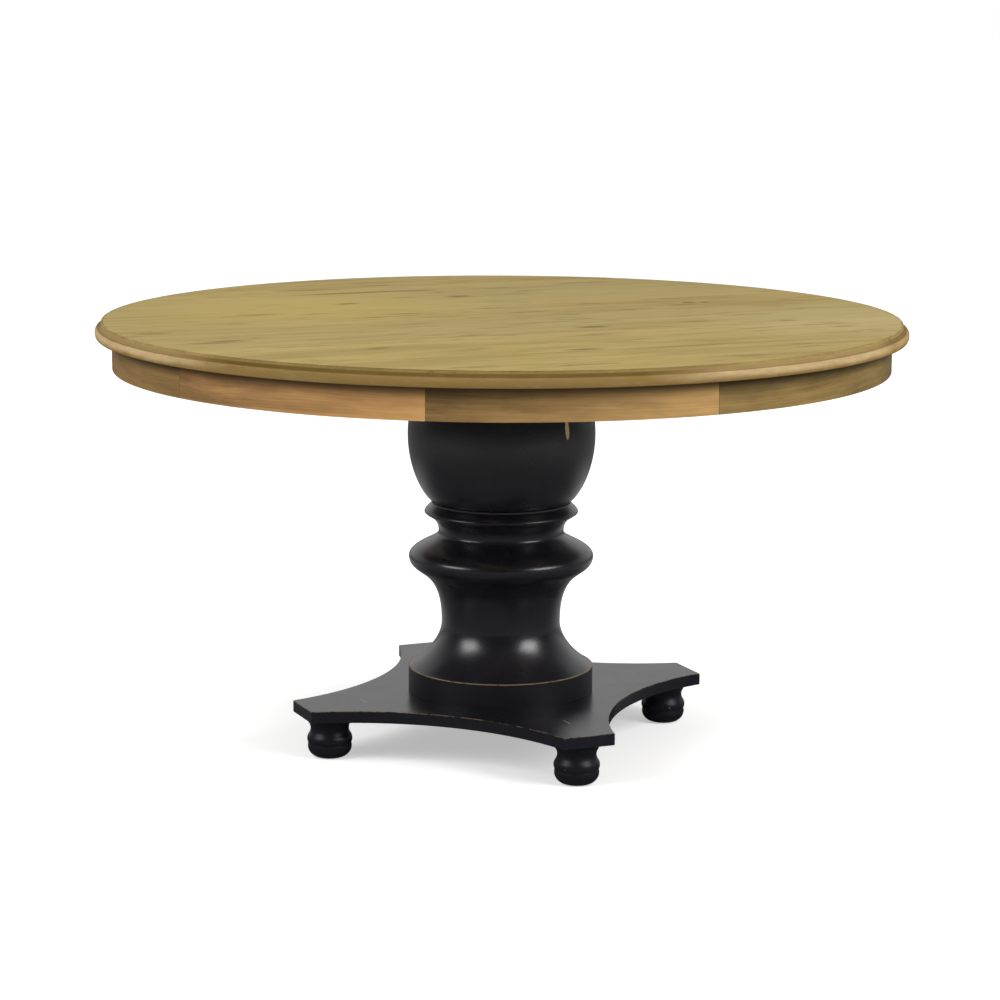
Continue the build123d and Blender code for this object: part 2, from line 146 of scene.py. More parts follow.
class Graph:
    """A node tree that is written as formulas."""

    def __init__(self, tree: bpy.types.NodeTree) -> None:
        """Takes over a node tree and empties it."""
        self.tree = tree
        tree.nodes.clear()

    def node(self, kind: str, settings: dict[str, Any], inputs: dict[Any, Any], output: Any = 0) -> Value:
        """Adds one node.

        Args:
            kind: the node's type.
            settings: properties of the node, set before its sockets.
            inputs: numbers, colours or linked values, by socket name or place.
            output: name or place of the output that is returned.

        Returns:
            The chosen output.
        """
        made = self.tree.nodes.new(kind)
        for name, setting in settings.items():
            setattr(made, name, setting)
        for name, given in inputs.items():
            if isinstance(given, Value):
                self.tree.links.new(given.socket, made.inputs[name])
            else:
                made.inputs[name].default_value = given
        return Value(self, made.outputs[output]) if made.outputs else Value(self, made.inputs[0])

    def math(self, operation: str, *values: Any) -> Value:
        """A Math node over up to three values."""
        return self.node("ShaderNodeMath", {"operation": operation}, dict(enumerate(values)))

    def largest(self, *values: Value) -> Value:
        """The largest of several values.

        Args:
            values: the values to compare.

        Returns:
            The largest one at each point.
        """
        result = values[0]
        for value in values[1:]:
            result = result.math("MAXIMUM", value)
        return result

    def vector(self, x: Any, y: Any, z: Any) -> Value:
        """A vector from three values."""
        return self.node("ShaderNodeCombineXYZ", {}, {0: x, 1: y, 2: z})

    def mix(self, low: Any, high: Any, factor: Any) -> Value:
        """A colour between two colours.

        Args:
            low: colour at factor 0, as a value or a tuple of three.
            high: colour at factor 1, as a value or a tuple of three.
            factor: share of the second colour, held between 0 and 1.

        Returns:
            The mixed colour.
        """
        ends = [(*c, 1.0) if isinstance(c, tuple) else c for c in (low, high)]
        settings = {"data_type": "RGBA", "clamp_factor": True}
        return self.node("ShaderNodeMix", settings, {0: factor, 6: ends[0], 7: ends[1]}, 2)

    def noise(self, place: Value, detail: float = 3.0, roughness: float = 0.5) -> Value:
        """Fractal noise from 0 to 1.

        Args:
            place: where it is read, already scaled.
            detail: number of octaves.
            roughness: strength of each octave against the one before.

        Returns:
            The noise.
        """
        inputs = {"Vector": place, "Scale": 1.0, "Detail": detail, "Roughness": roughness}
        return self.node("ShaderNodeTexNoise", {}, inputs)

    def chance(self, number: Value) -> Value:
        """A fixed random value from 0 to 1 for each whole number."""
        return self.node("ShaderNodeTexWhiteNoise", {"noise_dimensions": "1D"}, {"W": number})

    def place(self) -> tuple[Value, Value, Value]:
        """The surface point on the object.

        Returns:
            Its X, Y and Z.
        """
        point = self.node("ShaderNodeTexCoord", {}, {}, "Object")
        split = self.node("ShaderNodeSeparateXYZ", {}, {0: point})
        return split, split.output("Y"), split.output("Z")

    def bump(self, height: Value, strength: float, depth: float) -> Value:
        """A surface normal that follows a height.

        Args:
            height: relief from 0 to 1.
            strength: share of the relief that shows.
            depth: depth of the full relief.

        Returns:
            The normal.
        """
        inputs = {"Height": height, "Strength": strength, "Distance": depth}
        return self.node("ShaderNodeBump", {}, inputs)


def surface(name: str) -> tuple[bpy.types.Material, Graph]:
    """An empty material.

    Args:
        name: the material's name.

    Returns:
        The material and the graph that fills it.
    """
    material = bpy.data.materials.new(name)
    material.use_nodes = True
    return material, Graph(material.node_tree)


def close_surface(graph: Graph, inputs: dict[str, Any]) -> None:
    """Ends a material's graph in a Principled shader.

    Args:
        graph: the material's graph.
        inputs: values of the shader's sockets.
    """
    shader = graph.node("ShaderNodeBsdfPrincipled", {}, inputs)
    graph.node("ShaderNodeOutputMaterial", {}, {"Surface": shader})


# Finishes


@dataclass(frozen=True)
class WoodMark:
    """A dark joint, streak or knot of the boards: its middle, half length and half width."""

    x: float
    y: float
    half_length: float
    half_width: float
    depth: float


@dataclass(frozen=True)
class BroadPatch:
    """A broad patch of the boards in another colour: its middle, half sizes, share and colour."""

    x: float
    y: float
    half_length: float
    half_width: float
    share: float
    colour: Colour


@dataclass(frozen=True)
class PlankWood:
    """Weathered tan boards under a thin matt coat, browner round the moulded edge."""

    board_width: float
    top_radius: float
    flat_radius: float
    quirk_radius: float
    bead_middle: float
    underside: float
    light: Colour = (0.455, 0.338, 0.114)
    dark: Colour = (0.312, 0.224, 0.064)
    grey: Colour = (0.368, 0.292, 0.116)
    streak: Colour = (0.165, 0.108, 0.032)
    # Cove colour: brown wood, darker than the bead as painted shade in the hollow
    cove: Colour = (0.137, 0.084, 0.025)
    # Cove colour on the lit stretches: painted light
    lit_cove: Colour = (0.350, 0.245, 0.108)
    # Underside colour: painted shade, dark so that its reflection in the column stays dark
    underside_shade: Colour = (0.072, 0.048, 0.022)
    bead: Colour = (0.238, 0.154, 0.052)
    # Colour of the painted highlight on the bead's lit stretches
    worn: Colour = (0.585, 0.442, 0.240)
    # Middles of the stretches painted as lit, in degrees about Z, and how strong each is: a painted
    # highlight on the bead's upper half in rubbed-looking patches, a lighter cove and a painted shade line
    # in the quirk
    sheen_sides: tuple[tuple[float, float], ...] = ((-68.0, 1.0), (-28.0, 0.5), (182.0, 1.0))
    tones: tuple[BroadPatch, ...] = (
        # The first patch, lighter towards +X, is a painted sheen; the second is a tone of the wood
        BroadPatch(0.56, -0.30, 0.38, 0.30, 0.50, (0.50, 0.40, 0.185)),
        BroadPatch(-0.27, 0.28, 0.42, 0.42, 0.75, (0.50, 0.37, 0.100)),
    )
    marks: tuple[WoodMark, ...] = (
        WoodMark(0.080, -0.472, 0.640, 0.007, 0.48),
        WoodMark(0.100, -0.237, 0.520, 0.006, 0.28),
        WoodMark(0.088, -0.187, 0.045, 0.016, 0.90),
        WoodMark(0.410, 0.088, 0.020, 0.017, 0.95),
        WoodMark(0.438, 0.080, 0.014, 0.013, 0.80),
        WoodMark(-0.183, 0.300, 0.034, 0.015, 0.80),
        WoodMark(-0.355, -0.326, 0.028, 0.011, 0.70),
        WoodMark(-0.558, -0.140, 0.056, 0.011, 0.85),
        WoodMark(-0.110, 0.452, 0.190, 0.014, 0.72),
        WoodMark(0.012, 0.445, 0.060, 0.016, 0.55),
        WoodMark(0.055, 0.333, 0.036, 0.016, 0.80),
        WoodMark(0.160, 0.334, 0.090, 0.009, 0.38),
        WoodMark(-0.140, 0.105, 0.055, 0.011, 0.55),
        WoodMark(-0.054, -0.452, 0.046, 0.013, 0.80),
        WoodMark(-0.395, 0.183, 0.070, 0.020, 0.45),
        WoodMark(-0.640, -0.005, 0.050, 0.018, 0.50),
        WoodMark(-0.170, 0.523, 0.095, 0.012, 0.58),
        WoodMark(-0.306, 0.576, 0.032, 0.011, 0.55),
        WoodMark(0.441, -0.230, 0.032, 0.010, 0.60),
        WoodMark(0.310, 0.560, 0.045, 0.012, 0.50),
        WoodMark(0.370, 0.461, 0.075, 0.011, 0.42),
        WoodMark(0.490, -0.335, 0.032, 0.012, 0.50),
        WoodMark(0.560, -0.065, 0.030, 0.011, 0.50),
        WoodMark(0.600, 0.061, 0.030, 0.010, 0.42),
    )

    def flat(self, graph: Graph, x: Value, y: Value, z: Value) -> tuple[Value, Value]:
        """The boards' colour and relief, with one broad patch of painted sheen.

        Args:
            graph: the material's graph.
            x: place along the boards.
            y: place across the boards.
            z: height.

        Returns:
            The colour and the grain's height.
        """
        board = ((y + self.top_radius) / self.board_width).math("FLOOR")
        tone = graph.chance(board + 11.0)
        shift = graph.chance(board + 37.0) * 20.0
        bend = graph.noise(graph.vector(x * 1.3 + shift, y * 5.0, z * 5.0), 2.0) - 0.5
        across = y + bend * 0.05
        broad = graph.noise(graph.vector(x * 0.8 + shift, across * 10.0, z * 10.0), 2.0)
        band = graph.noise(graph.vector(x * 4.0 + shift, across * 32.0, z * 32.0), 4.0, 0.6)
        fibre = graph.noise(graph.vector(x * 12.0 + shift, across * 300.0, z * 300.0), 3.0, 0.6)
        dash = graph.noise(graph.vector(x * 7.0 + shift, across * 55.0, z * 55.0), 4.0, 0.6)
        patchy = graph.noise(graph.vector(x * 3.0 + shift, across * 7.0, z * 7.0), 2.0)
        grain = broad * 0.30 + band * 0.42 + fibre * 0.28

        colour = graph.mix(self.dark, self.light, grain.smooth(0.30, 0.62))
        colour = graph.mix(colour, self.grey, (tone * 0.5 + broad * 0.5).smooth(0.35, 0.85) * 0.40)
        for patch in self.tones:
            along, aside = (x - patch.x) / patch.half_length, (y - patch.y) / patch.half_width
            reach = (along * along + aside * aside) ** 0.5
            colour = graph.mix(colour, patch.colour, (1 - reach.smooth(0.0, 1.0)) * patch.share)
        dark = dash.smooth(0.55, 0.68) * patchy.smooth(0.36, 0.60) * 0.62
        for mark in self.marks:
            along = (x - mark.x) / mark.half_length
            aside = (across - mark.y) / mark.half_width
            reach = (along * along + aside * aside) ** 0.5 + (fibre - 0.5) * 0.9
            dark = dark.math("MAXIMUM", (1 - reach.smooth(0.2, 1.0)) * mark.depth)
        return graph.mix(colour, self.streak, dark), grain - dark * 0.4

    def material(self) -> bpy.types.Material:
        """Builds the finish of the boards.

        Returns:
            The finish, with its grain along X and its edge by radius.
        """
        material, graph = surface("weathered_planks")
        x, y, z = graph.place()
        radius = (x * x + y * y) ** 0.5
        colour, grain = self.flat(graph, x, y, z)

        patch = graph.noise(graph.vector(x * 24.0, y * 24.0, z * 110.0), 4.0, 0.65)
        # The stretches of the edge that are painted as lit, from their angle about Z
        sides = []
        for degrees, share in self.sheen_sides:
            turn = math.radians(degrees)
            toward = (x * math.cos(turn) + y * math.sin(turn)) / radius
            sides.append(toward.smooth(0.88, 0.985) * share)
        lit_side = graph.largest(*sides)
        # Painted highlight on the bead's upper half on those stretches, broken into rubbed-looking patches
        upper = lit_side * z.smooth(self.bead_middle - 0.006, self.bead_middle + 0.004)
        rubbed = upper * 0.66 + (patch - 0.5) * (lit_side * 0.5 + 0.4)
        bead = graph.mix(self.bead, self.worn, rubbed)
        # The cove is painted lighter on the lit stretches
        cove = graph.mix(self.cove, self.lit_cove, lit_side * 0.8 + (patch - 0.5) * 0.5)
        past_quirk = radius.smooth(self.quirk_radius - 0.0022, self.quirk_radius + 0.0012)
        # Painted shade: a dark line in the quirk on the lit stretches
        quirk_shade = radius.near(self.quirk_radius - 0.0008, 0.0018) * lit_side * 0.6
        edge = graph.mix(graph.mix(cove, bead, past_quirk), self.streak, quirk_shade)
        moulded = radius.smooth(self.flat_radius - 0.0010, self.flat_radius + 0.0008)
        colour = graph.mix(colour, edge, moulded)
        arris = radius.near(self.flat_radius - 0.0020, 0.0028) * patch.smooth(0.42, 0.50)
        colour = graph.mix(colour, self.streak, arris * 0.70)
        # Painted shade: the underside of the boards is darkened
        colour = graph.mix(self.underside_shade, colour, z.smooth(self.underside, self.underside + 0.002))

        inputs = {
            "Base Color": colour,
            "Roughness": 0.62 - grain * 0.14,
            "Specular IOR Level": (1 - moulded) * 0.06,
            "Normal": graph.bump(grain, 0.35, 0.0006),
        }
        close_surface(graph, inputs)
        return material


@dataclass(frozen=True)
class ApronWood:
    """Stained wood with its grain along the ring, in the tone of one segment."""

    number: int
    middle_angle: float
    radius: float
    top: float
    tone: Colour
    lean: float = 0.0
    # Reach of the painted shade down from the top edge
    painted_shade_reach: float = 0.026

    def material(self) -> bpy.types.Material:
        """Builds the finish of one segment.

        Returns:
            The finish, darker in the corner under the top and on its inner face, as painted shade.
        """
        material, graph = surface(f"apron_wood_{self.number}")
        x, y, z = graph.place()
        turn = math.cos(self.middle_angle), math.sin(self.middle_angle)
        along = (y * turn[0] - x * turn[1]).math("ARCTAN2", x * turn[0] + y * turn[1]) * self.radius
        shift = self.number * 3.7

        bend = graph.noise(graph.vector(along * 2.2 + shift, z * 6.0, 0.0), 2.0) - 0.5
        across = z + bend * 0.035
        band = graph.noise(graph.vector(along * 1.6 + shift, across * 55.0, 0.0), 3.0, 0.55)
        fibre = graph.noise(graph.vector(along * 11.0 + shift, across * 420.0, 0.0), 3.0, 0.6)
        cloud = graph.noise(graph.vector(along * 9.0 + shift, z * 30.0, 0.0), 4.0, 0.6)
        grain = band * 0.4 + fibre * 0.25 + cloud * 0.35
        level = grain.smooth(0.32, 0.68) * 0.7 + 0.15 + along * self.lean

        # Painted shade: the deep tone darkens the corner under the top's overhang and the whole inner face
        deep, low, high = (tuple(share * part for part in self.tone) for share in (0.14, 0.50, 1.50))
        inside = 1 - ((x * x + y * y) ** 0.5).smooth(self.radius - 0.012, self.radius - 0.004)
        shaded = z.near(self.top, self.painted_shade_reach).math("MAXIMUM", inside)
        inputs = {
            "Base Color": graph.mix(graph.mix(low, high, level), deep, shaded),
            "Roughness": 0.58 - grain * 0.14,
            "Specular IOR Level": 0.10,
            "Normal": graph.bump(grain, 0.30, 0.0005),
        }
        close_surface(graph, inputs)
        return material


@dataclass(frozen=True)
class RubbedPaint:
    """Black satin paint on wood, rubbed through where the piece says so."""

    gloss: float
    roughness: float
    paint: Colour = (0.0080, 0.0078, 0.0118)
    wood: Colour = (0.50, 0.34, 0.16)
    dust: Colour = (0.018, 0.017, 0.021)

    def finish(self, graph: Graph, place: tuple[Value, Value, Value], worn: Value) -> None:
        """Ends a painted material.

        Args:
            graph: the material's graph.
            place: the surface point.
            worn: 1 where the paint is rubbed through to the wood.
        """
        x, y, z = place
        brush = graph.noise(graph.vector(x * 26.0, y * 26.0, z * 70.0), 4.0, 0.6)
        peel = graph.noise(graph.vector(x * 210.0, y * 210.0, z * 210.0), 2.0)
        colour = graph.mix(self.paint, self.dust, brush.smooth(0.48, 0.85) * 0.30)
        colour = graph.mix(colour, self.wood, worn)
        relief = brush * 0.9 + peel * 0.1 - worn * 0.35
        inputs = {
            "Base Color": colour,
            "Roughness": brush * 0.10 + worn * 0.25 + self.roughness,
            "Specular IOR Level": self.gloss,
            "Normal": graph.bump(relief, 0.14, 0.0008),
        }
        close_surface(graph, inputs)


@dataclass(frozen=True)
class BareWood:
    """Planed wood that was never stained, on the hidden carpentry."""

    pale: Colour = (0.56, 0.41, 0.23)
    deep: Colour = (0.38, 0.25, 0.12)

    def material(self) -> bpy.types.Material:
        """Builds the finish.

        Returns:
            The finish, with its grain along Y.
        """
        material, graph = surface("bare_wood")
        x, y, z = graph.place()
        band = graph.noise(graph.vector(x * 60.0, y * 2.0, z * 60.0), 4.0, 0.6)
        fibre = graph.noise(graph.vector(x * 400.0, y * 10.0, z * 400.0), 2.0)
        grain = band * 0.7 + fibre * 0.3
        inputs = {
            "Base Color": graph.mix(self.deep, self.pale, grain.smooth(0.28, 0.68)),
            "Roughness": 0.72 - grain * 0.12,
            "Normal": graph.bump(grain, 0.30, 0.0005),
        }
        close_surface(graph, inputs)
        return material


@dataclass(frozen=True)
class ZincSteel:
    """Zinc-plated steel with a faint blue bloom."""

    bright: Colour = (0.62, 0.63, 0.64)
    dull: Colour = (0.44, 0.46, 0.49)

    def material(self) -> bpy.types.Material:
        """Builds the finish of the fasteners.

        Returns:
            The finish.
        """
        material, graph = surface("zinc_plate")
        x, y, z = graph.place()
        bloom = graph.noise(graph.vector(x * 160.0, y * 160.0, z * 160.0), 4.0, 0.6)
        inputs = {
            "Base Color": graph.mix(self.dull, self.bright, bloom.smooth(0.35, 0.65)),
            "Metallic": 1.0,
            "Roughness": 0.30 + bloom * 0.18,
        }
        close_surface(graph, inputs)
        return material


# Modelling


def let_go() -> None:
    """Deselects every object, so that the next operator acts on one piece only."""
    bpy.ops.object.select_all(action="DESELECT")


def take(piece: bpy.types.Object) -> None:
    """Makes one piece the only selected and the active one.

    Args:
        piece: the piece that the next operator works on.
    """
    let_go()
    piece.select_set(True)
    bpy.context.view_layer.objects.active = piece


def named(name: str) -> bpy.types.Object:
    """Names the piece just added and settles its place into its mesh.

    Args:
        name: the piece's name.

    Returns:
        The piece.
    """
    piece = bpy.context.object
    piece.name = piece.data.name = name
    take(piece)
    bpy.ops.object.transform_apply(location=True, rotation=True, scale=True)
    return piece


def copied(piece: bpy.types.Object, name: str, move: Vector, turn: float = 0.0) -> bpy.types.Object:
    """A copy with its own mesh, moved and turned about Z, with its place in its mesh.

    Args:
        piece: the piece to copy.
        name: the copy's name.
        move: how far it goes.
        turn: angle about the Z axis.

    Returns:
        The copy.
    """
    other = piece.copy()
    other.data = piece.data.copy()
    other.name = other.data.name = name
    bpy.context.scene.collection.objects.link(other)
    other.location = move
    other.rotation_euler = Euler((0.0, 0.0, turn))
    take(other)
    bpy.ops.object.transform_apply(location=True, rotation=True, scale=True)
    return other


def soften(piece: bpy.types.Object) -> None:
    """Shades a piece smooth, with its real corners left sharp."""
    take(piece)
    bpy.ops.object.shade_smooth_by_angle(angle=SHARP_ANGLE)


def drawn(name: str, outline: Sequence[Point]) -> bpy.types.Object:
    """A line of edges through the points of a (radius, height) outline, left in edit mode.

    Args:
        name: the piece's name.
        outline: the points in order.

    Returns:
        The piece, with the last point selected.
    """
    let_go()
    radius, height = outline[0]
    bpy.ops.mesh.primitive_plane_add(size=SEED_PLANE, location=(radius, 0.0, height))
    piece = named(name)
    bpy.ops.object.mode_set(mode="EDIT")
    bpy.ops.mesh.merge(type="CENTER")
    for near, far in zip(outline, outline[1:]):
        step = (far[0] - near[0], 0.0, far[1] - near[1])
        bpy.ops.mesh.extrude_vertices_move(TRANSFORM_OT_translate={"value": step})
    return piece


def spun(name: str, outline: Sequence[Point], steps: int, angle: float = FULL_TURN) -> bpy.types.Object:
    """Turns an outline about the Z axis, as on a lathe, and closes what stays open.

    Args:
        name: the piece's name.
        outline: (radius, height) points in order.
        steps: number of steps round.
        angle: how far it turns.

    Returns:
        The closed piece.
    """
    piece = drawn(name, outline)
    bpy.ops.mesh.select_all(action="SELECT")
    bpy.ops.mesh.spin(steps=steps, angle=-angle, center=(0.0, 0.0, 0.0), axis=(0.0, 0.0, 1.0))
    bpy.ops.mesh.select_all(action="SELECT")
    bpy.ops.mesh.remove_doubles(threshold=WELD)
    bpy.ops.mesh.fill_holes(sides=0)
    bpy.ops.mesh.select_all(action="SELECT")
    bpy.ops.mesh.normals_make_consistent(inside=False)
    bpy.ops.object.mode_set(mode="OBJECT")
    return piece


def curve(points: Sequence[Point], steps: int) -> list[Point]:
    """Points along a Bezier curve, without its first one.

    Args:
        points: the curve's control points.
        steps: number of points to return.

    Returns:
        The points, the last of which is the curve's end.
    """
    order = len(points) - 1
    result = []
    for step in range(1, steps + 1):
        t = step / steps
        weights = [math.comb(order, k) * t**k * (1 - t) ** (order - k) for k in range(order + 1)]
        radius = sum(w * p[0] for w, p in zip(weights, points))
        height = sum(w * p[1] for w, p in zip(weights, points))
        result.append((radius, height))
    return result


def arc(start: Point, middle: Point, end: Point, steps: int) -> list[Point]:
    """Points along the circle through three points, without the first one.

    Args:
        start: where the arc begins.
        middle: a point on the way.
        end: where the arc ends.
        steps: number of points to return.

    Returns:
        The points, the last of which is the arc's end.
    """
    a, b, c = (complex(*point) for point in (start, middle, end))
    ratio = (c - a) / (b - a)
    centre = a + (b - a) * (ratio - abs(ratio) ** 2) / (2j * ratio.imag)
    sweep = cmath.phase((b - centre) / (a - centre)) + cmath.phase((c - centre) / (b - centre))
    turned = [centre + (a - centre) * cmath.rect(1.0, sweep * k / steps) for k in range(1, steps + 1)]
    return [(point.real, point.imag) for point in turned]


def settle(piece: bpy.types.Object, node: str, slot: Slot, material: bpy.types.Material) -> None:
    """Gives a finished piece its material and its body, hides the CAD node it stands for and logs how near
    their boxes are.

    Args:
        piece: the finished piece.
        node: the CAD node that it replaces.
        slot: not used.
        material: its finish.
    """
    piece.data.materials.clear()
    piece.data.materials.append(material)
    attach(piece, BODY)
    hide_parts(node)
    low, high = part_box(node)
    corners = [Vector(corner) for corner in piece.bound_box]
    gaps = [min(c[i] for c in corners) - low[i] for i in range(3)]
    gaps += [max(c[i] for c in corners) - high[i] for i in range(3)]
    LOG.info("%s: %d faces, box within %.2f mm of %s", piece.name, len(piece.data.polygons),
             1000 * max(map(abs, gaps)), node)


def dress(node: str, material: bpy.types.Material) -> None:
    """Gives a CAD node that keeps its shape its finish.

    Args:
        node: the CAD node.
        material: its finish.
    """
    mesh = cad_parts[node].data
    if mesh.materials:
        mesh.materials[0] = material
    else:
        mesh.materials.append(material)
    LOG.info("%s: keeps its CAD shape, dressed in %s", node, material.name)


# The table


@dataclass
class TableTop:
    """Six edge-glued boards, cut to a disc with a hollow-and-bead edge."""

    count: int = 6
    cove_depth: float = 0.0105
    cove_width: float = 0.0065
    cove_hollow: float = 0.0026
    bead_width: float = 0.0045
    joint_ease: float = 0.0005
    steps: int = 320

    def __post_init__(self) -> None:
        """Reads the size of the top from the frame."""
        low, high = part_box("top_board_1")
        self.under, self.over = low.z, high.z
        self.radius = -low.y
        self.board_width = high.y - low.y
        self.quirk = self.radius - self.bead_width
        self.flat = self.quirk - self.cove_width

    def outline(self) -> list[Point]:
        """The top's section, with its moulded edge.

        Returns:
            (radius, height) points from the underside round the bead and the hollow to the flat.
        """
        bead_top = self.over - self.cove_depth
        slant = math.hypot(self.cove_width, self.cove_depth)
        hollow = (
            (self.flat + self.quirk) / 2 - self.cove_hollow * self.cove_depth / slant,
            (self.over + bead_top) / 2 - self.cove_hollow * self.cove_width / slant,
        )
        pull = self.quirk + self.bead_width * 4 / 3
        bead = ((self.quirk, self.under), (pull, self.under), (pull, bead_top), (self.quirk, bead_top))
        inside = self.radius / 2
        points = [(inside, self.under), bead[0], *curve(bead, 14)]
        return [*points, *arc(bead[-1], hollow, (self.flat, self.over), 8), (inside, self.over)]

    def board(self, disc: bpy.types.Object, number: int) -> bpy.types.Object:
        """Cuts one board out of a copy of the disc and eases its joints.

        Args:
            disc: the whole top.
            number: the board's number, counted along Y.

        Returns:
            The board.
        """
        piece = copied(disc, f"plank_{number}", Vector())
        near = self.board_width * (number - 1) - self.radius
        for level, lower in ((near, True), (near + self.board_width, False)):
            if abs(level) > self.radius - WELD:
                continue
            bpy.ops.object.mode_set(mode="EDIT")
            bpy.ops.mesh.select_all(action="SELECT")
            bpy.ops.mesh.bisect(
                plane_co=(0.0, level, 0.0), plane_no=(0.0, 1.0, 0.0),
                use_fill=True, clear_inner=lower, clear_outer=not lower,
            )
            bpy.ops.mesh.bevel(offset=self.joint_ease, segments=2, affect="EDGES")
            bpy.ops.object.mode_set(mode="OBJECT")
        soften(piece)
        return piece

    def build(self) -> None:
        """Models, dresses and seats the boards."""
        bead_middle = (self.under + self.over - self.cove_depth) / 2
        finish = PlankWood(
            self.board_width, self.radius, self.flat, self.quirk, bead_middle, self.under
        ).material()
        disc = spun("top_disc", self.outline(), self.steps)
        for number in range(1, self.count + 1):
            settle(self.board(disc, number), f"top_board_{number}", Slot.TOP, finish)
        bpy.data.objects.remove(disc)


@dataclass
class Apron:
    """Nine curved segments under the top, each in its own tone of brown."""

    count: int = 9
    first_joint: float = math.radians(36.5)
    outer: float = 0.682
    inner: float = 0.656
    ease: float = 0.0009
    hole_radius: float = 0.0065
    hole_depth: float = 0.024
    steps: int = 36
    tones: tuple[Colour, ...] = (
        (0.30, 0.185, 0.068),
        (0.27, 0.170, 0.060),
        (0.31, 0.180, 0.066),
        (0.22, 0.132, 0.046),
        (0.43, 0.235, 0.088),
        (0.348, 0.209, 0.077),
        (0.215, 0.142, 0.048),
        (0.150, 0.108, 0.042),
        (0.20, 0.140, 0.052),
    )
    leans: tuple[float, ...] = (0.3, -0.3, 0.3, 0.2, 1.9, 1.5, -0.2, -0.2, 0.3)

    def __post_init__(self) -> None:
        """Reads the heights of the ring from the frame."""
        low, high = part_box("apron_segment_1")
        self.under, self.over = low.z, high.z
        self.span = FULL_TURN / self.count

    def segment(self) -> bpy.types.Object:
        """Models one segment, with eased edges and the hole of its screw.

        Returns:
            The segment, from angle 0 on.
        """
        inner, outer, under, over = self.inner, self.outer, self.under, self.over
        corners = [(inner, under), (outer, under), (outer, over), (inner, over), (inner, under)]
        piece = spun("apron_blank", corners, self.steps, self.span)
        middle, half = (inner + outer) / 2, self.span / 2
        let_go()
        bpy.ops.mesh.primitive_cylinder_add(
            vertices=32, radius=self.hole_radius, depth=2 * self.hole_depth,
            location=(middle * math.cos(half), middle * math.sin(half), under),
        )
        cutter = named("screw_hole")
        take(piece)
        hole = piece.modifiers.new("hole", "BOOLEAN")
        hole.object = cutter
        bpy.ops.object.modifier_apply(modifier=hole.name)
        bpy.data.objects.remove(cutter)
        ease = piece.modifiers.new("ease", "BEVEL")
        ease.width, ease.segments, ease.angle_limit = self.ease, 2, math.radians(50)
        bpy.ops.object.modifier_apply(modifier=ease.name)
        soften(piece)
        return piece

    def build(self) -> None:
        """Models, dresses and seats the segments."""
        blank = self.segment()
        for number in range(1, self.count + 1):
            start = self.first_joint + self.span * (number - 1)
            piece = copied(blank, f"apron_{number}", Vector(), start)
            tone, lean = self.tones[number - 1], self.leans[number - 1]
            finish = ApronWood(number, start + self.span / 2, self.outer, self.over, tone, lean).material()
            settle(piece, f"apron_segment_{number}", Slot.APRON, finish)
        bpy.data.objects.remove(blank)


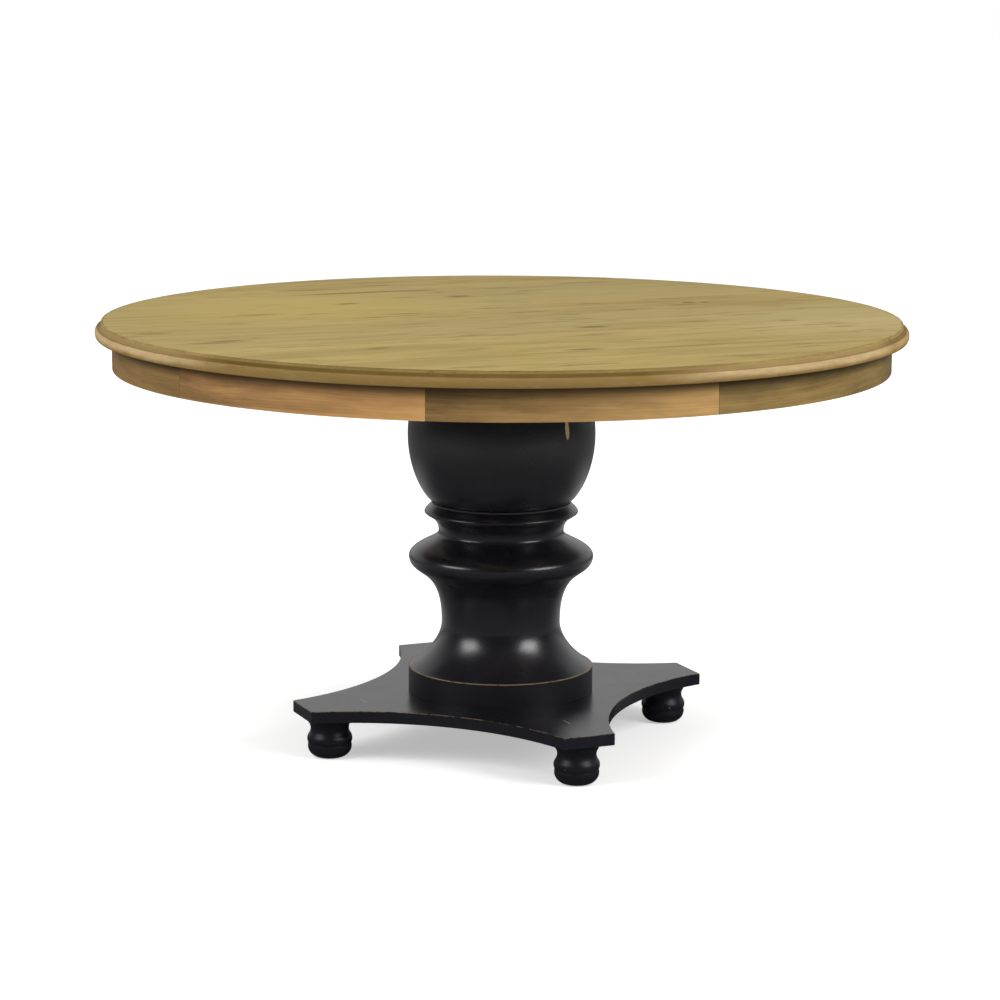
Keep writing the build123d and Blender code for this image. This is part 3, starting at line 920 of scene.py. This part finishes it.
@dataclass
class Column:
    """The turned pedestal: bulb, lower turning and plinth disc."""

    paint: RubbedPaint
    plinth_paint: RubbedPaint
    waist: float = 0.1058
    bulge: float = 0.1645
    neck: float = 0.1114
    ring: float = 0.1368
    fillet: float = 0.1235
    flare_height: float = 0.080
    waist_to_bulge: float = 0.119
    bulge_to_neck: float = 0.045
    neck_to_ring: float = 0.035
    ring_top: float = 0.015
    fillet_height: float = 0.003
    shoulder: float = 0.0015
    plinth_ease: float = 0.0012
    bulb_foot: float = 0.1215
    bulb_crown: float = 0.132
    bulb_lower: float = 0.121
    bore: float = 0.009
    spigot: float = 0.040
    spigot_height: float = 0.020
    clearance: float = 0.00025
    patch_angle: float = math.radians(-70.0)
    patch_height: float = 0.5795
    patch_half: float = 0.0185
    patch_half_width: float = 0.0062
    rub_angle: float = math.radians(-38.0)
    rub_drop: float = 0.008
    rub_reach: float = 0.016
    rub_spread: float = 0.16
    steps: int = 192
    rows: int = 20

    def __post_init__(self) -> None:
        """Reads the stack of heights and the largest radii from the frame."""
        low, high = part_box("plinth_disc")
        self.plinth_under, self.plinth_over, self.plinth = low.z, high.z, high.x
        low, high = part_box("column_bulb")
        self.bulb_under, self.bulb_over, self.bulb = low.z, high.z, high.x

    def bulb_outline(self) -> list[Point]:
        """The squat ball, over the socket for the lower turning's spigot.

        Returns:
            (radius, height) points from the bore round the belly and the head.
        """
        equator_z = self.bulb_under + self.bulb_lower
        lower, upper = self.bulb_lower, self.bulb_over - equator_z
        swell = self.bulb - self.bulb_foot, self.bulb - self.bulb_crown
        foot, crown = (self.bulb_foot, self.bulb_under), (self.bulb_crown, self.bulb_over)
        belly = (
            foot, (foot[0] + 0.37 * swell[0], foot[1] + 0.075 * lower),
            (self.bulb, equator_z - 0.53 * lower), (self.bulb, equator_z),
        )
        head = (
            belly[-1], (self.bulb, equator_z + 0.45 * upper),
            (crown[0] + 0.36 * swell[1], crown[1] - 0.065 * upper), crown,
        )
        steps = 2 * self.rows
        socket = self.socket(self.bulb_under, 1)
        return [*socket, foot, *curve(belly, steps), *curve(head, steps), (self.bore, crown[1]), socket[0]]

    def socket(self, mouth: float, way: int) -> list[Point]:
        """A socket over a spigot, from the bore out to its mouth.

        Args:
            mouth: height of the socket's mouth.
            way: 1 for a socket that goes up, -1 for one that goes down.

        Returns:
            The points from the bore to the rim of the mouth.
        """
        end = mouth + way * (self.spigot_height + self.clearance)
        wall = self.spigot + self.clearance
        return [(self.bore, end), (wall, end), (wall, mouth)]

    def lower_outline(self) -> list[Point]:
        """Flare, waist, bulge, neck and ring, with a spigot at each end.

        Returns:
            (radius, height) points from the lower spigot up.
        """
        lip = self.plinth - self.shoulder
        depth = lip - self.waist
        flare_z = self.plinth_over
        waist_z = flare_z + self.flare_height
        bulge_z = waist_z + self.waist_to_bulge
        neck_z = bulge_z + self.bulge_to_neck
        ring_z = neck_z + self.neck_to_ring
        fillet_z = ring_z + self.ring_top
        flare = (
            (lip, flare_z), (lip - 0.43 * depth, flare_z + 0.18 * self.flare_height),
            (self.waist, waist_z - 0.43 * self.flare_height), (self.waist, waist_z),
        )
        swell = (
            flare[-1], (self.waist, waist_z + 0.87 * self.waist_to_bulge),
            (self.bulge, bulge_z - 0.30 * self.waist_to_bulge), (self.bulge, bulge_z),
        )
        fall = (
            swell[-1], (self.bulge, bulge_z + 0.46 * self.bulge_to_neck),
            (self.neck, neck_z - 0.36 * self.bulge_to_neck), (self.neck, neck_z),
        )
        hollow = (
            fall[-1], (self.neck, neck_z + 0.76 * self.neck_to_ring),
            (self.ring, ring_z - 0.18 * self.neck_to_ring), (self.ring, ring_z),
        )
        cap = (hollow[-1], (self.ring, ring_z + 0.30 * self.ring_top), (self.fillet, fillet_z))
        low, top = flare_z - self.spigot_height, fillet_z + self.fillet_height
        points = [(self.bore, low), (self.spigot, low), (self.spigot, flare_z), flare[0]]
        for bend in (flare, swell, fall, hollow, cap):
            points += curve(bend, self.rows)
        high = top + self.spigot_height
        points += [(self.fillet, top), (self.spigot, top), (self.spigot, high), (self.bore, high)]
        return [*points, points[0]]

    def plinth_outline(self) -> list[Point]:
        """The round block, with its rim eased.

        Returns:
            (radius, height) points from the bore round the rim and the socket.
        """
        under, over, rim = self.plinth_under, self.plinth_over, self.plinth
        eased = rim - self.plinth_ease
        corner = ((rim, over - self.plinth_ease), (rim, over), (eased, over))
        socket = reversed(self.socket(over, -1))
        return [(self.bore, under), (rim, under), corner[0], *curve(corner, 4), *socket, (self.bore, under)]

    def material(self, name: str, paint: RubbedPaint) -> bpy.types.Material:
        """Black paint, rubbed along the plinth's rim, with one bare patch on the bulb.

        Args:
            name: the material's name.
            paint: its gloss and colours.

        Returns:
            The finish.
        """
        material, graph = surface(name)
        place = x, y, z = graph.place()
        radius = (x * x + y * y) ** 0.5
        angle = y.math("ARCTAN2", x)
        chips = graph.noise(graph.vector(x * 55.0, y * 55.0, z * 55.0), 4.0, 0.65)
        outside = radius.smooth(self.plinth - 0.004, self.plinth - 0.001)
        rim = z.near(self.plinth_over - 0.0003, 0.0013) * outside * chips.smooth(0.30, 0.48) * 0.5

        along = (z - self.patch_height) / self.patch_half
        aside = (angle - self.patch_angle) * self.bulb / self.patch_half_width
        reach = (along * along + aside * aside) ** 0.5 + aside * aside * 0.25 + (chips - 0.5) * 0.35
        patch = 1 - reach.smooth(0.80, 1.0)

        bulge_z = self.plinth_over + self.flare_height + self.waist_to_bulge
        nose = z.near(bulge_z - self.rub_drop, self.rub_reach)
        rubbed = nose * angle.near(self.rub_angle, self.rub_spread) * chips.smooth(0.62, 0.70)
        paint.finish(graph, place, graph.largest(rim, patch, rubbed))
        return material

    def build(self) -> None:
        """Models, dresses and seats the three turnings."""
        turned = self.material("rubbed_black_column", self.paint)
        block = self.material("rubbed_black_plinth", self.plinth_paint)
        for name, node, outline, finish in (
            ("bulb", "column_bulb", self.bulb_outline(), turned),
            ("lower_turning", "column_lower_turning", self.lower_outline(), turned),
            ("plinth", "plinth_disc", self.plinth_outline(), block),
        ):
            piece = spun(name, outline, self.steps)
            soften(piece)
            settle(piece, node, Slot.PAINT, finish)


@dataclass(frozen=True)
class Scratch:
    """A scratch through the paint: its two ends on the plate."""

    start: Point
    end: Point
    half_width: float = 0.0011


@dataclass
class Base:
    """The four-cornered plate and the bun feet under its corners."""

    plate_paint: RubbedPaint
    foot_paint: RubbedPaint
    feet: int = 4
    facet: float = 0.094
    side_middle: float = 0.233
    sole: float = 0.022
    toe_height: float = 0.020
    lower_bead: float = 0.03875
    groove_rise: float = 0.005
    groove: float = 0.0378
    bead_rise: float = 0.008
    bead: float = 0.03975
    neck_rise: float = 0.017
    neck: float = 0.03375
    collar_rise: float = 0.012
    collar: float = 0.0375
    steps: int = 96
    scratches: tuple[Scratch, ...] = (
        Scratch((0.0022, -0.2622), (0.0050, -0.2930)),
        Scratch((-0.2674, 0.0128), (-0.2630, -0.0203)),
        Scratch((0.2690, 0.0000), (0.2712, 0.0110)),
    )

    def __post_init__(self) -> None:
        """Reads the plate's reach and heights from the frame."""
        low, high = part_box("base_plate")
        self.under, self.over, self.reach = low.z, high.z, high.x

    def foot_outline(self) -> list[Point]:
        """One foot, with its two beads and its collar.

        Returns:
            (radius, height) points from the sole to the plate.
        """
        groove_z = self.toe_height + self.groove_rise
        bead_z = groove_z + self.bead_rise
        neck_z = bead_z + self.neck_rise
        collar_z = neck_z + self.collar_rise
        spread = self.lower_bead - self.sole
        bow = (spread**2 + self.toe_height**2) / (2 * spread)
        drop = bow * math.sqrt(0.5)
        toe = (self.lower_bead - bow + drop, self.toe_height - drop), (self.lower_bead, self.toe_height)
        shoulder = (self.bead + self.neck) / 2, (bead_z + neck_z) / 2
        points = [(0.0, 0.0), (self.sole, 0.0), *arc((self.sole, 0.0), *toe, 14), (self.groove, groove_z)]
        points += arc((self.groove, groove_z), (self.bead, bead_z), shoulder, 12)
        points += arc(shoulder, (self.neck, neck_z), (self.collar, collar_z), 12)
        return [*points, (self.collar, self.under), (0.0, self.under)]

    def plate_material(self) -> bpy.types.Material:
        """Black paint, rubbed along the plate's edges and scratched on its top.

        Returns:
            The finish.
        """
        material, graph = surface("rubbed_black_plate")
        place = x, y, z = graph.place()
        wide, deep = x.math("ABSOLUTE"), y.math("ABSOLUTE")
        middle, half = self.side_middle / math.sqrt(2), self.facet / 2
        centre = (self.reach**2 + half**2 - 2 * middle**2) / (2 * (self.reach + half) - 4 * middle)
        bow = math.sqrt(2) * (centre - middle)
        across = ((wide - centre) ** 2.0 + (deep - centre) ** 2.0) ** 0.5 - bow
        edge = across.math("MINIMUM", self.reach - wide.math("MAXIMUM", deep))
        chips = graph.noise(graph.vector(x * 48.0, y * 48.0, z * 48.0), 4.0, 0.65)
        rubbed = edge.near(0.0, 0.0016) * z.near(self.over, 0.0014) * chips.smooth(0.42, 0.60) * 0.5

        marks = []
        for scratch in self.scratches:
            run = Vector(scratch.end) - Vector(scratch.start)
            ahead = run.normalized()
            dx, dy = x - scratch.start[0], y - scratch.start[1]
            along = (dx * ahead.x + dy * ahead.y) / run.length
            aside = (dx * ahead.y - dy * ahead.x) / scratch.half_width
            inside = along.near(0.5, 0.55).smooth(0.0, 0.35)
            marks.append(inside * aside.near(0.0, 1.0) * chips.smooth(0.34, 0.50))
        self.plate_paint.finish(graph, place, graph.largest(rubbed, *marks))
        return material

    def foot_material(self) -> bpy.types.Material:
        """Black paint with a few worn flecks on the beads.

        Returns:
            The finish.
        """
        material, graph = surface("rubbed_black_feet")
        place = x, y, z = graph.place()
        chips = graph.noise(graph.vector(x * 90.0, y * 90.0, z * 90.0), 4.0, 0.65)
        beads = z.near(self.toe_height, 0.004).math("MAXIMUM", z.near(self.toe_height + 0.013, 0.004))
        self.foot_paint.finish(graph, place, beads * chips.smooth(0.66, 0.72))
        return material

    def build(self) -> None:
        """Dresses the plate and models, dresses and seats the feet."""
        dress("base_plate", self.plate_material())
        finish = self.foot_material()
        foot = spun("foot_blank", self.foot_outline(), self.steps)
        soften(foot)
        for number in range(1, self.feet + 1):
            low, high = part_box(f"bun_foot_{number}")
            seat = Vector(((low.x + high.x) / 2, (low.y + high.y) / 2, 0.0))
            piece = copied(foot, f"foot_{number}", seat)
            settle(piece, f"bun_foot_{number}", Slot.PAINT, finish)
        bpy.data.objects.remove(foot)


@dataclass
class Carpentry:
    """The cleats, the head plate and the fasteners, which keep their CAD shapes."""

    wooden: tuple[str, ...] = ("cleat_left", "cleat_right", "head_plate", "apron_dowels")
    steel: tuple[str, ...] = (
        "apron_screws", "cleat_screws", "cleat_inserts", "head_plate_screws", "head_plate_bolts",
        "head_plate_washers", "plinth_screws", "foot_studs", "tie_rod", "tie_rod_nuts", "tie_rod_washers",
    )

    def build(self) -> None:
        """Dresses the hidden nodes."""
        bare, zinc = BareWood().material(), ZincSteel().material()
        for node in self.wooden:
            dress(node, bare)
        for node in self.steel:
            dress(node, zinc)


# The studio


@dataclass(frozen=True)
class SoftBox:
    """An upright soft light, placed round the table from the camera's side."""

    name: str
    angle: float
    height: float
    distance: float
    width: float
    length: float
    power: float


@dataclass
class Studio:
    """Camera, soft lights and a plain pale floor."""

    camera_angle: float = math.radians(-23.53)
    camera_distance: float = 5.2599
    camera_height: float = 1.3860
    pitch: float = 0.1789
    roll: float = 0.0045
    lens: float = 108.2
    shift: float = -0.0013
    floor_size: float = 80.0
    floor_colour: float = 0.80
    # Floor brightness in reflections near and far from the table: painted shade below its own colour
    near_reflection_shade: float = 0.14
    far_reflection_shade: float = 0.31
    floor_lift: float = 0.45
    # Extra lift away from the table; near the base the floor stays darker as painted shade
    shade_grading_lift: float = 0.30
    ambient: float = 0.50
    aim_height: float = 0.4
    boxes: tuple[SoftBox, ...] = (
        SoftBox("left_box", math.radians(-62), 3.6, 5.0, 2.80, 3.80, 208.0),
        SoftBox("right_box", math.radians(57), 3.6, 5.0, 2.80, 3.80, 256.0),
    )

    def camera(self) -> None:
        """Stands the camera where the photograph was taken."""
        data = bpy.data.cameras.new("camera")
        data.lens, data.shift_x = self.lens, self.shift
        camera = bpy.data.objects.new("camera", data)
        bpy.context.scene.collection.objects.link(camera)
        place = self.around(self.camera_angle, self.camera_distance, self.camera_height)
        aim = Matrix.Rotation(self.camera_angle, 4, "Z")
        aim = aim @ Matrix.Rotation(math.pi / 2 - self.pitch, 4, "X") @ Matrix.Rotation(self.roll, 4, "Z")
        camera.matrix_world = Matrix.Translation(place) @ aim
        bpy.context.scene.camera = camera

    @staticmethod
    def around(angle: float, distance: float, height: float) -> Vector:
        """A place round the table.

        Args:
            angle: angle about Z from the -Y side.
            distance: distance from the Z axis.
            height: height over the floor.

        Returns:
            The place.
        """
        return Vector((distance * math.sin(angle), -distance * math.cos(angle), height))

    def lights(self) -> None:
        """Hangs the soft boxes, each turned to the middle of the table."""
        target = Vector((0.0, 0.0, self.aim_height))
        for box in self.boxes:
            data = bpy.data.lights.new(box.name, "AREA")
            data.shape, data.energy = "RECTANGLE", box.power
            data.size, data.size_y = box.width, box.length
            light = bpy.data.objects.new(box.name, data)
            light.location = self.around(self.camera_angle + box.angle, box.distance, box.height)
            light.rotation_euler = (light.location - target).to_track_quat("Z", "Y").to_euler()
            bpy.context.scene.collection.objects.link(light)

    def surroundings(self) -> None:
        """A white backdrop for the camera, and a soft even light with a dimmer front wall."""
        world = bpy.data.worlds.new("studio")
        world.use_nodes = True
        bpy.context.scene.world = world
        graph = Graph(world.node_tree)
        ray = graph.node("ShaderNodeLightPath", {}, {}, "Is Camera Ray")
        gloss = ray.output("Is Glossy Ray").math("MAXIMUM", ray.output("Is Transmission Ray"))
        toward = graph.node("ShaderNodeTexCoord", {}, {}, "Generated")
        split = graph.node("ShaderNodeSeparateXYZ", {}, {0: toward})
        behind = split * -math.sin(self.camera_angle) + split.output("Y") * math.cos(self.camera_angle)
        backdrop = behind.smooth(0.0, 0.95) * 0.72 + 0.02
        sky = split.output("Z").smooth(-0.10, 0.90) * self.ambient
        strength = ray + (1 - ray) * (gloss * backdrop + (1 - gloss) * sky)
        inputs = {"Color": (1.0, 1.0, 1.0, 1.0), "Strength": strength}
        white = graph.node("ShaderNodeBackground", {}, inputs)
        graph.node("ShaderNodeOutputWorld", {}, {"Surface": white})

    def floor(self) -> None:
        """Lays the pale floor, lifted to white for the camera and keeping the shadow; the lift is smaller
        near the table, a painted shade round the base, and in reflections the floor is painted darker near
        the table and in front.
        """
        let_go()
        bpy.ops.mesh.primitive_plane_add(size=self.floor_size)
        piece = named("floor")
        material, graph = surface("pale_floor")
        ray = graph.node("ShaderNodeLightPath", {}, {}, "Is Camera Ray")
        x, y, _ = graph.place()
        away = (x * x + y * y) ** 0.5
        back = (y * math.cos(self.camera_angle) - x * math.sin(self.camera_angle)) / away
        # Painted shade in reflections: the floor shows darker near the table and in front
        reflection_shade = graph.mix((self.near_reflection_shade,) * 3, (self.far_reflection_shade,) * 3, away.smooth(1.0, 2.6))
        reflection_shade = graph.mix(reflection_shade, (self.floor_colour,) * 3, back.smooth(0.0, 0.9) * away.near(1.2, 0.9))
        tint = graph.mix((self.floor_colour,) * 3, reflection_shade, ray.output("Is Glossy Ray"))
        paper = graph.node("ShaderNodeBsdfDiffuse", {}, {"Color": tint})
        # Painted shade: the lift grows away from the table, so the floor round the base stays darker
        white = away.smooth(0.25, 0.85) * self.shade_grading_lift + self.floor_lift
        lift = graph.node("ShaderNodeEmission", {}, {"Strength": ray * white})
        both = graph.node("ShaderNodeAddShader", {}, {0: paper, 1: lift})
        graph.node("ShaderNodeOutputMaterial", {}, {"Surface": both})
        piece.data.materials.append(material)

    def build(self) -> None:
        """Sets up the whole studio."""
        bpy.context.scene.view_settings.view_transform = "Standard"
        self.camera()
        self.lights()
        self.surroundings()
        self.floor()


def main() -> None:
    logging.basicConfig(level=logging.INFO, format="%(name)s: %(message)s")
    column = Column(RubbedPaint(gloss=0.75, roughness=0.24), RubbedPaint(gloss=0.30, roughness=0.40))
    base = Base(RubbedPaint(gloss=0.45, roughness=0.20), RubbedPaint(gloss=0.25, roughness=0.36))
    for part in (TableTop(), Apron(), column, base, Carpentry(), Studio()):
        part.build()
        LOG.info("%s done", type(part).__name__)


if __name__ == "__main__":
    main()
